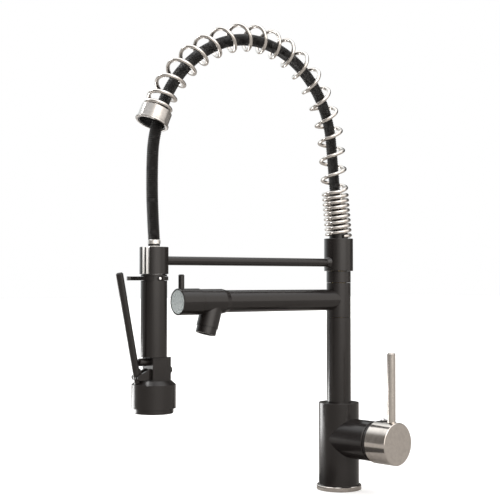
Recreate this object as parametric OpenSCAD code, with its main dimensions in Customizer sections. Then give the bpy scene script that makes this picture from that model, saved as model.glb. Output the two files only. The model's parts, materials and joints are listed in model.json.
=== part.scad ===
// Deck mounted pre-rinse faucet: a mixer body with a side handle, a swivelling spout with a
// diverter knob, and a swivelling spring arm that carries a lever spray head in a clip.
// The deck is z = 0, the riser stands on the Z axis, the arm and the spout reach along -Y
// and the handle is on the +X side. All lengths are in millimetres.

/* [Base and mixer body] */
// Diameter of the metal ring on the deck
base_d = 53; // [52:0.5:58]
// Height of the ring
base_h = 5.5; // [4.5:0.5:8]
// Thickness of the gasket under the ring
gasket_h = 1.5; // [1:0.1:2]
// Diameter of the mixer body
body_d = 47.5; // [46.5:0.5:52]
// Height of the top of the mixer body above the deck
body_top = 102.4; // [100:0.2:112]
// Diameter of the threaded socket for the mounting shank
shank_d = 28; // [26:1:30]
// Depth of that socket
shank_depth = 18; // [12:1:20]
// Diameter of the two threaded hose inlets
inlet_d = 10; // [8:0.5:10]
// Distance between the two inlets
inlet_gap = 15; // [14:0.5:17]
// Depth of the inlets
inlet_depth = 14; // [10:1:14]

/* [Mixer valve and handle] */
// Height of the handle axis
mixer_z = 61.3; // [60:0.1:64]
// Angle of the handle from +X towards +Y
handle_az = 6.4; // [-10:0.1:20]
// Diameter of the boss
boss_d = 46; // [44:0.5:46]
// Distance from the riser axis to the boss end
boss_end = 54.5; // [53.5:0.5:60]
// Diameter of the cartridge
cartridge_d = 35; // [33:0.5:36]
// Length of the cartridge
cartridge_len = 31.8; // [30:0.2:34]
// Length of the ring nut that holds the cartridge
nut_len = 8.4; // [7:0.2:9]
// Width of the gap between the boss and the handle cap
cap_gap = 6; // [5:0.25:9]
// Diameter of the handle cap
cap_d = 48.8; // [46.8:0.2:52]
// Length of the handle cap
cap_len = 29.5; // [28:0.5:36]
// Wall of the handle cap
cap_wall = 2.4; // [1.6:0.1:3]
// Diameter of the handle pin
pin_d = 9.6; // [7:0.1:10.6]
// Length of the handle pin above the cap
pin_len = 78.6; // [60:0.2:110]
// Distance of the pin from the flat end of the cap
pin_inset = 9.5; // [6.5:0.1:10.5]
// Diameter of the index plug
plug_d = 8.4; // [6:0.2:9]
// Distance of the plug from the rear rim of the cap
plug_inset = 8.5; // [7.5:0.1:10]
// Height of the plug above the cap
plug_rise = 1.2; // [0.8:0.1:2]
// Diameter of the stem that the handle turns
stem_d = 9; // [7:0.2:9]

/* [Riser] */
// Diameter of the riser
riser_d = 28.8; // [26.8:0.2:32]
// Length of the riser from the body to the spout ring
riser_len = 100.6; // [88:0.2:120]
// Diameter of the inner spindle
spindle_d = 19; // [18:0.2:20]
// Diameter of the waterway in the spindle
spindle_bore = 12; // [8:0.5:13]
// Diameter of the neck above the spout ring
neck_d = 28.8; // [27:0.2:32]
// Length of the neck
neck_len = 13.6; // [11:0.2:18]

/* [Spout] */
// Diameter of the swivel ring
ring_d = 28.6; // [27.6:0.2:32]
// Length of the swivel ring
ring_len = 41.4; // [40:0.2:50]
// Height of the spout axis above the bottom of the ring
spout_rise = 21; // [19:0.2:23]
// Diameter of the spout tube
spout_d = 24.6; // [22.6:0.2:25]
// Wall of the spout tube
spout_wall = 2.3; // [1.2:0.1:2.6]
// Gap between the diverter knob and the grip tube
spout_gap = 15.7; // [12:0.1:36]
// Diameter of the end body
end_d = 27.3; // [26:0.1:30]
// Length of the end body with its chamfer
end_len = 36.5; // [35.5:0.5:40]
// Length of that chamfer
end_chamfer = 6; // [3:0.5:8]
// Diameter of the nozzle branch
nozzle_d = 24; // [22.6:0.2:25]
// Length of the nozzle branch from the spout axis
nozzle_len = 29; // [26:0.5:36]
// Lean of the nozzle away from the riser
nozzle_tilt = 16; // [0:0.5:20]
// Distance of the nozzle from the start of the end body
nozzle_at = 16.9; // [16:0.1:18]
// Diameter of the aerator
aerator_d = 22.4; // [21.4:0.1:22.6]
// Length of the aerator below the nozzle
aerator_len = 7.7; // [6:0.1:10]

/* [Diverter] */
// Diameter of the diverter knob
knob_d = 28.8; // [27:0.2:32]
// Length of the diverter knob
knob_len = 27.1; // [24:0.1:28]
// Diameter of the pin on the knob
knob_pin_d = 6.5; // [5:0.1:7]
// Height of that pin above the knob
knob_pin_len = 15.1; // [8:0.1:20]
// Distance of that pin from the face of the knob
knob_pin_inset = 5; // [4.8:0.1:7]
// Depth of the recess for the face disc
disc_depth = 1; // [0.8:0.1:1.2]
// Width of the rim round the face disc
disc_rim = 1.5; // [1:0.1:3]

/* [Dock arm] */
// Distance from the riser axis to the spray axis
arm_reach = 259.4; // [250:0.2:285]
// Diameter of the swivel collar
collar_d = 34.4; // [33.4:0.2:40]
// Length of the swivel collar
collar_len = 38.8; // [36:0.2:46]
// Diameter of the rod to the clip
rod_d = 9.5; // [7:0.5:12]
// Height of the rod above the bottom of the collar
rod_rise = 10; // [8:0.5:14]
// Diameter of the clip
clip_d = 30.6; // [29.8:0.2:34]
// Height of the clip
clip_h = 28.7; // [20:0.1:36]
// Thickness of the lining in the clip
liner_t = 0.9; // [0.6:0.1:1.2]
// Width of the slit in the clip
slit_w = 7; // [5:0.5:9]
// Angle of the slit from -Y towards +X
slit_az = 24; // [10:1:30]

/* [Spring and hose] */
// Thickness of the spring wire
wire_d = 4.4; // [3:0.1:4.6]
// Mean diameter of the coil
coil_d = 27.8; // [27.6:0.1:31]
// Number of close turns at the foot
close_turns = 9; // [5:1:10]
// Rise of each close turn
close_pitch = 5.95; // [5.2:0.05:7]
// Number of open turns
open_turns = 17.9; // [14:0.1:22]
// Part of a turn that lies down on the end collar
end_turns = 0.55; // [0.4:0.05:1]
// Slip of the turns near the crown towards the spray side
crown_slip = 5.5; // [0:0.5:7]
// Length of the upright stretch
mast_len = 104; // [80:1:130]
// Radius of the first bend of the arch
arch_r1 = 136; // [130:1:142]
// Radius of the crown
arch_r2 = 109; // [104:1:114]
// Diameter of the hose
hose_d = 12.8; // [10:0.1:13]
// Diameter of the collar at the end of the spring
end_collar_d = 34; // [33.6:0.2:40]
// Diameter of its lip
end_lip_d = 36.8; // [35:0.2:40]
// Height of its lip
end_lip_h = 2.6; // [1.6:0.2:5]
// Length of that collar
end_collar_len = 16.7; // [12:0.1:20]

/* [Spray head] */
// Diameter of the neck that sits in the clip
neck_fit_d = 24.4; // [22:0.1:24.6]
// Diameter of the grip tube
grip_d = 27.9; // [27.3:0.1:30]
// Length of the grip tube
grip_len = 87; // [78:1:110]
// Width of the valve block
block_w = 21.6; // [19:0.2:22]
// Distance of the front of the block from the spray axis
block_front = 7.6; // [7.4:0.1:9]
// Distance of the back of the block from the spray axis
block_back = 15; // [14.6:0.1:16.4]
// Height of the valve block
block_h = 24.3; // [23.8:0.1:30]
// Diameter of the bell
bell_d = 46.8; // [44:0.2:52]
// Height of the straight part of the bell
bell_h = 24.8; // [22:0.2:34]
// Height of the shoulder of the bell
shoulder_h = 4.3; // [4:0.1:6]
// Diameter of the flat top of the bell
shoulder_d = 36.6; // [35.6:0.2:37]
// Diameter of the bumper ring
bumper_d = 42; // [40.5:0.5:43]
// Height of the bumper ring
bumper_h = 5.5; // [5:0.1:7]
// Diameter of each spray jet
jet_d = 2.2; // [1.2:0.1:2.4]
// Diameter of the ferrule on the hose
ferrule_d = 13.6; // [13.2:0.1:14.4]
// Length of the ferrule
ferrule_len = 4.5; // [3:0.1:8]
// Height of the neck nut's head under the ferrule
nut_h = 3; // [2.6:0.1:6]

/* [Spray lever] */
// Diameter of the lever rod
lever_d = 7.6; // [6:0.1:7.6]
// Height of the top of the lever above the lever pin
lever_rise = 109.2; // [90:0.2:130]
// Angle of the lever from upright
lever_tilt = 11.2; // [11:0.1:12.5]
// Distance of the lever pin from the spray axis
lever_pin_y = 20.6; // [20.4:0.1:21]
// Height of the lever pin above the bottom of the block
lever_pin_z = 3.75; // [3.75:0.05:4.5]
// Diameter of the lever pin
lever_pin_d = 3; // [2:0.1:3.4]
// Thickness of each cheek beside the lever
cheek_t = 2.5; // [2:0.1:3]
// Diameter of the plunger
plunger_d = 8.2; // [6:0.1:8.4]
// Height of the plunger above the bottom of the block
plunger_z = 19.4; // [19:0.1:20]
// Diameter of the flow screw at the back
screw_d = 8; // [6:0.1:9]
// Height of the screw above the bottom of the block
screw_z = 10.2; // [9:0.1:11]
// Length of the screw head behind the block
screw_head = 6.2; // [4:0.1:8]
// Thickness of the catch ring
catch_t = 4.2; // [3:0.1:4.4]
// Distance of the catch ring from the top of the grip tube
catch_drop = 2.1; // [1.8:0.1:3]
// Reach of the catch finger from the spray axis
catch_reach = 28.8; // [28.6:0.1:31]
// Thickness of the catch finger
finger_t = 3.6; // [2.5:0.1:3.6]

/* [Fits] */
// Gap between a turning part and the flat face next to it
run_gap = 0.2; // [0.1:0.05:0.3]
// Radial gap of a shaft in its bore
fit = 0.05; // [0.03:0.01:0.1]
// Gap between parts that pass each other
clear = 0.3; // [0.2:0.05:0.4]
// Width of the chamfer on turned edges
edge = 0.6; // [0.3:0.1:0.9]

/* [Hidden] */
$fn = 64;
matt = "#3e3a38";
nickel = "#b4aaa3";
silver = "#b5c0c0";
brass = "#b08d4a";
white = "#e6e4de";

// heights of the column
ring_z = body_top + riser_len;
spout_z = ring_z + spout_rise;
neck_z = ring_z + ring_len;
collar_z = neck_z + neck_len;
collar_top = collar_z + collar_len;
rod_z = collar_z + rod_rise;
clip_z = rod_z - clip_h / 2;
clip_top = clip_z + clip_h;

// bores of the column
shank_bore = shank_d;
base_bore = shank_d + 2;
gasket_d = base_d - 6;
bush_t = 2;
swivel_bore = spindle_d + 2 * fit + 2 * bush_t + 2 * fit;
spigot_d = riser_d - 4;
spigot_len = 12;
spindle_root = 18;
collar_floor = 13.4;
spindle_top = collar_top - collar_floor - 2 * clear;
circlip_z = spindle_top - 3;
seal_w = 2.4;
bush_h = 5.5;
seal_zs = [ring_z + bush_h + 4, neck_z - bush_h - 4, collar_z + bush_h + 4, circlip_z - 4];

// mixer valve, measured from the riser axis along the handle axis
cartridge_bore = cartridge_d + 4 * fit;
cartridge_back = boss_end - 2 - nut_len - cartridge_len;
cartridge_front = cartridge_back + cartridge_len;
pivot_x = cartridge_front - 2;
ball_r = stem_d / 2 + 1;
cam_d = 2 * ball_r + 8.6;
cam_back = pivot_x - ball_r - 5;
tilt_pin_d = 2.6;
tilt_pin_back = 0;
cap_x = boss_end + cap_gap;
cap_end = cap_x + cap_len;
dome_base_r = boss_d / 2 - 2;
dome_r = sqrt(pow(dome_base_r, 2) + pow(boss_end + run_gap / 2 - pivot_x, 2));
dome_t = 2;
dome_cut = 4.5;
dome_x = pivot_x + dome_r - dome_cut;
cut = 200;
cap_floor = pivot_x + dome_r + 1;
socket_end = cap_end - 4;
pin_x = cap_end - pin_inset;
plug_x = cap_x + plug_inset;
plug_floor = cap_d / 2 - 2.2;

// spout, measured from the riser axis along the spout
spout_bore = spout_d - 2 * spout_wall;
spout_len = arm_reach - grip_d / 2 - spout_gap - knob_len - end_len;
end_x = spout_len + end_len;
nozzle_x = spout_len + nozzle_at;
nozzle_bore = nozzle_d - 4.8;
drum_d = 16;
drum_len = 13;
drum_x = spout_len + 10;
divert_stem_d = 10;
knob_stem_d = 7;
knob_x = end_x + run_gap;
knob_end = end_x + knob_len;
knob_back_t = 10.5;
disc_d = knob_d - 2 * disc_rim;
knob_pin_x = knob_end - knob_pin_inset;
knob_pin_foot = 9;

// clip
liner_bore = neck_fit_d + 4 * fit;
liner_d = liner_bore + 2 * liner_t;
slit_edge = 2;

// routes of the spring and of the hose: [radius, turn] for a bend, [0, length] for a straight,
// state = [distance along -Y, height, angle from upright]
function step(s, g) = g[0] == 0
    ? [s[0] + g[1] * sin(s[2]), s[1] + g[1] * cos(s[2]), s[2]]
    : [s[0] + g[0] * (cos(s[2]) - cos(s[2] + g[1])),
       s[1] + g[0] * (sin(s[2] + g[1]) - sin(s[2])), s[2] + g[1]];
function state(s, r, n) = n == 0 ? s : step(state(s, r, n - 1), r[n - 1]);
function seg_len(g) = g[0] == 0 ? g[1] : g[0] * g[1] * PI / 180;
function part_of(g, l) = g[0] == 0 ? [0, l] : [g[0], l / g[0] * 180 / PI];
function route_len(r, n) = n == 0 ? 0 : route_len(r, n - 1) + seg_len(r[n - 1]);
function along(s, r, l, i = 0) = (i == len(r) - 1 || l <= seg_len(r[i]))
    ? step(s, part_of(r[i], l)) : along(step(s, r[i]), r, l - seg_len(r[i]), i + 1);
function last_r(s, turn, target) = (target - s[0]) / (cos(s[2]) - cos(s[2] + turn));
// radius of a bend, so that the bend after it, which ends straight down below the target, passes
// a line through p at the distance off where it leans by tilt
function pass_r(s, turn, target, p, off, tilt) = let (b = s[2] + turn,
    far = cos(s[2]) - cos(b), rise = sin(b) - sin(s[2]),
    part = (cos(b) - cos(tilt)) / (cos(b) + 1), fall = (sin(tilt) - sin(b)) / (cos(b) + 1),
    base = (s[0] + (target - s[0]) * part - p[0]) * cos(p[2])
        - (s[1] + (target - s[0]) * fall - p[1]) * sin(p[2]))
    (off - base) / (far * (1 - part) * cos(p[2]) - (rise - far * fall) * sin(p[2]));

foot_r = 60;
foot_turn = 6;
spring_in = 3.04;
hose_sink = 11.8;
hose_lead = 12;
hose_slack = 4;
hose_out = 14;
hose_pass = 7.4596;
hose_pass_tilt = 168.4;
spring_start = [0, collar_top, 0];
spring_head = [[foot_r, foot_turn], [0, mast_len], [arch_r1, 41.5], [arch_r2, 63]];
spring_mid = state(spring_start, spring_head, 4);
spring_end_tilt = 156.8;
spring_turn = spring_end_tilt - spring_mid[2];
spring_end_u = arm_reach - spring_in;
spring_route = concat(spring_head, [[last_r(spring_mid, spring_turn, spring_end_u), spring_turn]]);
spring_end = state(spring_start, spring_route, 5);

hose_start = [0, collar_top - hose_sink, 0];
hose_rise = [[0, hose_lead], [foot_r, foot_turn], [0, mast_len + hose_slack],
    [arch_r1 - hose_out, 41]];
hose_r2 = pass_r(state(hose_start, hose_rise, 4), 64, arm_reach, spring_end, hose_pass,
    hose_pass_tilt);
hose_head = concat(hose_rise, [[hose_r2, 64]]);
hose_mid = state(hose_start, hose_head, 5);
hose_turn = 180 - foot_turn - 41 - 64;
hose_route = concat(hose_head, [[last_r(hose_mid, hose_turn, arm_reach), hose_turn]]);
hose_end = state(hose_start, hose_route, 6);
hose_len = route_len(hose_route, 6);
hose_rings = 64;
hose_sides = 12;

// coil
seat_play = 0.1;
seat_lift = wire_d / 2 + seat_play;
coil_len = route_len(spring_route, 5) - 2 * seat_lift;
open_pitch = (coil_len - close_turns * close_pitch) / open_turns;
coil_az = 344;
all_turns = close_turns + open_turns + end_turns;
crown_turn = close_turns + 0.445 * open_turns;
// rise taken up by the turns near the end, in open pitches
end_rise = [[-8, 0], [-6.4, 0.18], [-5.2, 0.29], [-1.55, 0.26], [-0.55, -0.1], [0, -end_turns]];
coil_steps = 16;
coil_sides = 6;
coil_count = round(all_turns * coil_steps);
coil_play = 1.2;
guide_play = 0.2;
seat_d = coil_d - wire_d - coil_play;
seat_rise = 7;
crimp_wall = 1.85;
crimp_d = hose_d + 2 * crimp_wall;
seat_bore = crimp_d + 4 * fit;
rim_bore = coil_d - wire_d + coil_play;
guide_bore = 2 * hose_pass + hose_d + guide_play;
guide_wall = 1.5;
guide_d = end_collar_d - 2 * guide_wall;
guide_z = 4;
guide_in = 0.8;

// spray head, heights
grip_top = clip_z - clear;
block_top = grip_top - grip_len;
block_z = block_top - block_h;
bell_top = block_z - shoulder_h;
bumper_top = bell_top - bell_h;
face_z = bumper_top - bumper_h;
nut_z = clip_top;
ferrule_z = nut_z + nut_h + run_gap / 2;
ferrule_top = ferrule_z + ferrule_len;
grip_bore = 14;
swivel_d = 8.4;
flange_d = 10.6;
swivel_bore_d = flange_d + 4 * fit;
swivel_len = 16;
flange_t = 2;
nut_d = 12.6;
washer_t = 1.2;
sleeve_t = 1.5;
stud_d = 3.2;
stud_az = -5;
water_d = 10;
pin_h = block_z + lever_pin_z;
plunger_h = block_z + plunger_z;
screw_h = block_z + screw_z;
eye_r = lever_pin_z - 0.15;
cheek_r = 2.9;
cheek_rise = 8.8;
shoulder_lean = atan(shoulder_h / (bell_d - shoulder_d) * 2);
foot_low = (lever_pin_y - shoulder_d / 2) * sin(shoulder_lean) + lever_pin_z * cos(shoulder_lean) - clear;
web_y = 3.6;
web_low = 4.5;
web_high = 9.2;
cheek_x = lever_d / 2 + clear;
lever_face = lever_pin_y + (plunger_h - pin_h) * tan(lever_tilt) - lever_d / 2 / cos(lever_tilt);
plunger_tip = lever_face - clear;
plunger_in = 3;
plunger_r = 6;
catch_top = grip_top - catch_drop;
catch_z = catch_top - catch_t;
groove_d = grip_d - 5.5;
catch_swing = 22;
catch_az = 216;

module along_x(a, b, d) {
    translate([a, 0, 0]) rotate([0, 90, 0]) cylinder(d = d, h = b - a);
}

module cone_x(a, b, d1, d2) {
    translate([a, 0, 0]) rotate([0, 90, 0]) cylinder(d1 = d1, d2 = d2, h = b - a);
}

// X out along the handle axis, Z up, origin on the riser axis at handle height
module at_mixer() {
    translate([0, 0, mixer_z]) rotate([0, 0, handle_az]) children();
}

// Z along the spout, Y up, origin on the riser axis at spout height
module at_spout() {
    translate([0, 0, spout_z]) rotate([90, 0, 0]) children();
}

// Z along the nozzle, origin on the spout axis
module at_nozzle() {
    translate([0, -nozzle_x, spout_z]) rotate([180 - nozzle_tilt, 0, 0]) children();
}

module at_spray(z = 0) {
    translate([0, -arm_reach, z]) children();
}

// a turned piece with chamfered outer edges and a bore
module turned(d, bore, z0, z1, low = edge, high = edge) {
    rotate_extrude() polygon([[bore / 2, z0], [d / 2 - low, z0], [d / 2, z0 + low],
        [d / 2, z1 - high], [d / 2 - high, z1], [bore / 2, z1]]);
}

module ring(d, bore, z0, z1) {
    translate([0, 0, z0]) difference() {
        cylinder(d = d, h = z1 - z0);
        translate([0, 0, -1]) cylinder(d = bore, h = z1 - z0 + 2);
    }
}

module seal(r, w) {
    rotate_extrude() translate([r, 0]) circle(d = w, $fn = 24);
}

module hole(d, z0, z1) {
    translate([0, 0, z0]) cylinder(d = d, h = z1 - z0);
}

// rings of a round tube along a route
function route_ring(s, d, sides) = [for (k = [0 : sides - 1]) let (a = 360 * k / sides)
    [0, -s[0], s[1]] + d / 2 * [cos(a), sin(a) * cos(s[2]), sin(a) * sin(s[2])]];

function unit(v) = v / norm(v);
// point of the coil and its outward direction after t turns
function coil_s(t) = seat_lift + (t < close_turns ? t * close_pitch
    : close_turns * close_pitch + (t - close_turns) * open_pitch
        + crown_slip * exp(-pow((t - crown_turn) / 2.6, 2)) + open_pitch * lookup(t - all_turns, end_rise));
function coil_out(s, a) = [cos(a), sin(a) * cos(s[2]), sin(a) * sin(s[2])];
function coil_at(t) = let (s = along(spring_start, spring_route, coil_s(t)),
    o = coil_out(s, coil_az + 360 * t)) [0, -s[0], s[1]] + coil_d / 2 * o;
function coil_dir(t) = unit(coil_at(t + 0.01) - coil_at(t - 0.01));
function coil_side(t) = let (s = along(spring_start, spring_route, coil_s(t)))
    unit(cross(coil_dir(t), coil_out(s, coil_az + 360 * t)));
function coil_ring(t) = let (p = coil_at(t), d = coil_dir(t), b = coil_side(t), n = cross(b, d))
    [for (k = [0 : coil_sides - 1]) let (a = 360 * k / coil_sides)
        p + wire_d / 2 * (cos(a) * n + sin(a) * b)];

module sweep(rings, sides) {
    n = len(rings);
    polyhedron(
        points = [for (r = rings, p = r) p],
        faces = concat(
            [[for (k = [0 : sides - 1]) k]],
            [for (i = [0 : n - 2], k = [0 : sides - 1]) let (a = i * sides + k,
                b = i * sides + (k + 1) % sides) [b, a, a + sides]],
            [for (i = [0 : n - 2], k = [0 : sides - 1]) let (a = i * sides + k,
                b = i * sides + (k + 1) % sides) [b, a + sides, b + sides]],
            [[for (k = [sides - 1 : -1 : 0]) (n - 1) * sides + k]]),
        convexity = 10);
}

// ---- base and mixer body ----

module base_gasket() color("#2a2827") ring(gasket_d, base_bore, 0, gasket_h);

module base_ring() color(nickel) difference() {
    turned(base_d, base_bore, run_gap, base_h, 0.2, edge);
    translate([0, 0, -1]) cylinder(d = gasket_d + 2 * fit, h = gasket_h + 1);
}

module valve_body() color(matt) difference() {
    union() {
        turned(body_d, 0, base_h, body_top, 0.2, 0.3);
        at_mixer() along_x(0, boss_end - edge, boss_d);
        at_mixer() cone_x(boss_end - edge, boss_end, boss_d, boss_d - 2 * edge);
    }
    hole(shank_bore, base_h - 1, base_h + shank_depth);
    for (s = [-1, 1]) at_mixer() {
        translate([2, s * inlet_gap / 2, base_h + shank_depth - 1 - mixer_z])
            cylinder(d = inlet_d, h = inlet_depth + 1);
        translate([2, s * inlet_gap / 2, base_h + shank_depth - mixer_z])
            cylinder(d = 6, h = mixer_z - 5 - base_h - shank_depth);
        translate([0, s * inlet_gap / 2, -5]) along_x(2, cartridge_back + 1, 6);
    }
    at_mixer() translate([0, 0, 8]) along_x(2, cartridge_back + 1, 8);
    at_mixer() translate([2, 0, 8]) cylinder(d = 8, h = body_top - mixer_z - 8);
    at_mixer() along_x(cartridge_back, boss_end + 1, cartridge_bore);
    hole(spigot_d + 2 * fit, body_top - spigot_len - clear, body_top + 1);
}

module cartridge_body() color("#d8d5cc") at_mixer() difference() {
    along_x(cartridge_back, cartridge_front, cartridge_d);
    along_x(cam_back - clear, cartridge_front + 1, cam_d + 4 * fit);
    for (s = [-1, 1])
        translate([0, s * inlet_gap / 2, -5]) along_x(cartridge_back - 1, cartridge_back + 5, 6);
    translate([0, 0, 8]) along_x(cartridge_back - 1, cartridge_back + 5, 8);
}

module cartridge_nut() color(brass) at_mixer() difference() {
    along_x(cartridge_front, cartridge_front + nut_len, cartridge_d);
    along_x(cartridge_front - 1, cartridge_front + nut_len + 1, cam_d + 3);
    for (a = [0 : 60 : 300]) rotate([a, 0, 0])
        translate([cartridge_front + nut_len, 0, cam_d / 2 + 1.5])
            cube([6, 4, 3], center = true);
}

module dome_trim() color(matt) at_mixer() difference() {
    translate([pivot_x, 0, 0]) rotate([0, 90, 0]) sphere(r = dome_r);
    translate([pivot_x, 0, 0]) rotate([0, 90, 0]) sphere(r = dome_r - dome_t);
    translate([boss_end - cut, -cut / 2, -cut / 2]) cube(cut);
    translate([dome_x, -cut / 2, -cut / 2]) cube(cut);
}

// ---- turning parts of the mixer ----

module tilt_pin(d, w) {
    translate([pivot_x - tilt_pin_back, 0, 0]) rotate([90, 0, 0]) cylinder(d = d, h = w, center = true);
}

module cartridge_cam() color("#8c8a84") at_mixer() difference() {
    along_x(cam_back, cartridge_front, cam_d);
    translate([pivot_x, 0, 0]) rotate([0, 90, 0]) sphere(r = ball_r + run_gap);
    tilt_pin(tilt_pin_d + 2 * fit, cam_d + 1);
}

module cartridge_stem() color(brass) at_mixer() union() {
    translate([pivot_x, 0, 0]) rotate([0, 90, 0]) sphere(r = ball_r);
    along_x(pivot_x, socket_end - clear, stem_d);
    tilt_pin(tilt_pin_d, 2 * ball_r + 5);
}

module handle_cap() color(nickel) at_mixer() difference() {
    rotate([0, 90, 0]) turned(cap_d, 0, cap_x, cap_end, 0.4, edge);
    along_x(cap_x - 1, cap_floor, cap_d - 2 * cap_wall);
    along_x(cap_floor - 1, socket_end, stem_d + 2 * fit);
    translate([pin_x, 0, cap_d / 2 - 7]) cylinder(d = pin_d + 4 * fit, h = 20);
    translate([plug_x, 0, plug_floor]) cylinder(d = plug_d + 4 * fit, h = 20);
    translate([plug_x, 0, 0]) cylinder(d = 5 + 2 * fit, h = plug_floor + 1);
}

module handle_pin() color(nickel) at_mixer() translate([pin_x, 0, 0])
    turned(pin_d, 0, cap_d / 2 - 7, cap_d / 2 + pin_len, 0.2, 1.2);

module index_ring() color("#232120") at_mixer() translate([plug_x, 0, 0]) difference() {
    turned(plug_d, 0, plug_floor, cap_d / 2 + plug_rise, 0.1, 0.5);
    translate([0, 0, cap_d / 2 + plug_rise - 0.7]) cylinder(d = plug_d - 2.4, h = 5);
}

module index_disc() color(white) at_mixer() translate([plug_x, 0, 0])
    turned(plug_d - 2.4 - 4 * fit, 0, cap_d / 2 + plug_rise - 0.7, cap_d / 2 + plug_rise + 0.7, 0.1, 0.6);

module set_screw() color("#6e6c68") at_mixer() translate([plug_x, 0, 0]) difference() {
    translate([0, 0, stem_d / 2 + fit]) cylinder(d = 5, h = 8);
    translate([0, 0, stem_d / 2 + 6]) cylinder(d = 2.8, h = 8, $fn = 6);
}

// ---- riser ----

module riser_tube() color(matt) difference() {
    union() {
        translate([0, 0, body_top]) cylinder(d = riser_d, h = riser_len - 0.3);
        translate([0, 0, ring_z - 0.3]) cylinder(d1 = riser_d, d2 = riser_d - 0.6, h = 0.3);
        hole(spigot_d, body_top - spigot_len, body_top + 1);
    }
    hole(spindle_d + 2 * fit, body_top - spigot_len - 1, ring_z + 1);
}

module spindle() color(brass) difference() {
    hole(spindle_d, ring_z - spindle_root, spindle_top);
    hole(spindle_bore, ring_z - spindle_root - 1, spindle_top + 1);
    for (z = seal_zs) ring(spindle_d + 2, spindle_d - 1.2, z - seal_w / 2 - 0.1, z + seal_w / 2 + 0.1);
    ring(spindle_d + 2, spindle_d - 2, circlip_z - 0.1, circlip_z + 1.4);
    translate([0, 0, spout_z]) for (a = [0 : 90 : 270]) rotate([90, 0, a]) cylinder(d = 7, h = spindle_d);
}

module spindle_seals() color("#1d1c1b") for (z = seal_zs)
    translate([0, 0, z]) seal((spindle_d - 1.2) / 2 + seal_w / 2 + fit, seal_w);

module neck_nut() color(matt) turned(neck_d, spindle_d + 2 * fit, neck_z, collar_z, 0.3, 0.3);

module collar_circlip() color("#6e6c68") difference() {
    ring(swivel_bore - 1, spindle_d - 2 + 4 * fit, circlip_z, circlip_z + 1.3);
    translate([0, -3, circlip_z - 1]) cube([30, 6, 4]);
}

// ---- spout ----

module spout_arm() color(matt) difference() {
    union() {
        turned(ring_d, 0, ring_z + run_gap, neck_z - run_gap, 0.3, 0.3);
        at_spout() cylinder(d = spout_d, h = spout_len);
    }
    hole(swivel_bore, ring_z - 1, neck_z + 1);
    at_spout() cylinder(d = spout_bore, h = spout_len + 1);
}

module spout_bush(z) color(white) ring(swivel_bore - 2 * fit, spindle_d + 2 * fit, z, z + bush_h);
module spout_bush_low() spout_bush(ring_z + run_gap);
module spout_bush_high() spout_bush(neck_z - run_gap - bush_h);

module spout_end() color(matt) difference() {
    union() {
        at_spout() hole(spout_bore - 2 * fit, spout_len - 9, spout_len + 1);
        at_spout() translate([0, 0, spout_len])
            cylinder(d1 = spout_d, d2 = end_d, h = end_chamfer);
        at_spout() hole(end_d, spout_len + end_chamfer, end_x - 0.3);
        at_spout() translate([0, 0, end_x - 0.3]) cylinder(d1 = end_d, d2 = end_d - 0.6, h = 0.3);
        at_nozzle() cylinder(d = nozzle_d, h = nozzle_len);
    }
    at_spout() hole(drum_d + 2 * fit, spout_len - 10, drum_x + drum_len + clear);
    at_spout() hole(divert_stem_d + 2 * fit, drum_x, end_x + 1);
    at_nozzle() hole(nozzle_bore, 4, nozzle_len + 1);
}

module aerator_housing() color("#35312f") at_nozzle() difference() {
    union() {
        hole(nozzle_bore - 2 * fit, nozzle_len - 8, nozzle_len + 1);
        turned(aerator_d, 0, nozzle_len, nozzle_len + aerator_len, 0.2, edge);
    }
    hole(nozzle_bore - 3, nozzle_len - 9, nozzle_len + aerator_len + 1);
    hole(nozzle_bore - 1.6, nozzle_len - 9, nozzle_len + aerator_len - 2);
}

module aerator_grid() color("#8f908e") at_nozzle() difference() {
    hole(nozzle_bore - 1.6 - 2 * fit, nozzle_len + aerator_len - 4.6, nozzle_len + aerator_len - 2);
    for (q = [-3 : 3], r = [-3 : 3]) let (x = 2.5 * (q + r / 2), y = 2.165 * r)
        if (norm([x, y]) < nozzle_bore / 2 - 2.4)
            translate([x, y, 0]) hole(1.9, nozzle_len, nozzle_len + aerator_len);
}

// ---- diverter ----

module diverter_stem() color(brass) at_spout() difference() {
    union() {
        hole(drum_d, drum_x, drum_x + drum_len);
        hole(divert_stem_d, drum_x, end_x + run_gap);
        hole(knob_stem_d, end_x, knob_end - knob_back_t + 5);
    }
    translate([0, 0, end_x - 4]) difference() {
        cylinder(d = divert_stem_d + 2, h = 1.6);
        translate([0, 0, -1]) cylinder(d = divert_stem_d - 3, h = 4);
    }
    hole(8, drum_x - 1, drum_x + drum_len - 4);
    translate([0, 0, nozzle_x - 1]) rotate([90, 0, 0]) cylinder(d = 8, h = drum_d);
}

module diverter_seal() color("#1d1c1b") at_spout()
    translate([0, 0, end_x - 3.2]) seal(divert_stem_d / 2 - 0.7, 1.3);

module diverter_knob() color(matt) at_spout() difference() {
    turned(knob_d, 0, knob_x, knob_end, 0.3, edge);
    hole(knob_d - 4.8, knob_x - 1, knob_end - knob_back_t);
    hole(knob_stem_d + 2 * fit, knob_x, knob_end - knob_back_t + 5 + fit);
    hole(disc_d, knob_end - disc_depth, knob_end + 1);
    translate([0, knob_pin_foot, knob_pin_x]) rotate([-90, 0, 0])
        cylinder(d = knob_pin_d + 2 * fit, h = knob_d);
}

module knob_disc() color(silver) at_spout()
    turned(disc_d - 4 * fit, 0, knob_end - disc_depth, knob_end - 0.3, 0.1, 0.2);

module knob_pin() color(matt) at_spout() translate([0, 0, knob_pin_x]) rotate([-90, 0, 0])
    turned(knob_pin_d, 0, knob_pin_foot, knob_d / 2 + knob_pin_len, 0.2, 0.9);

// ---- dock arm ----

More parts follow.
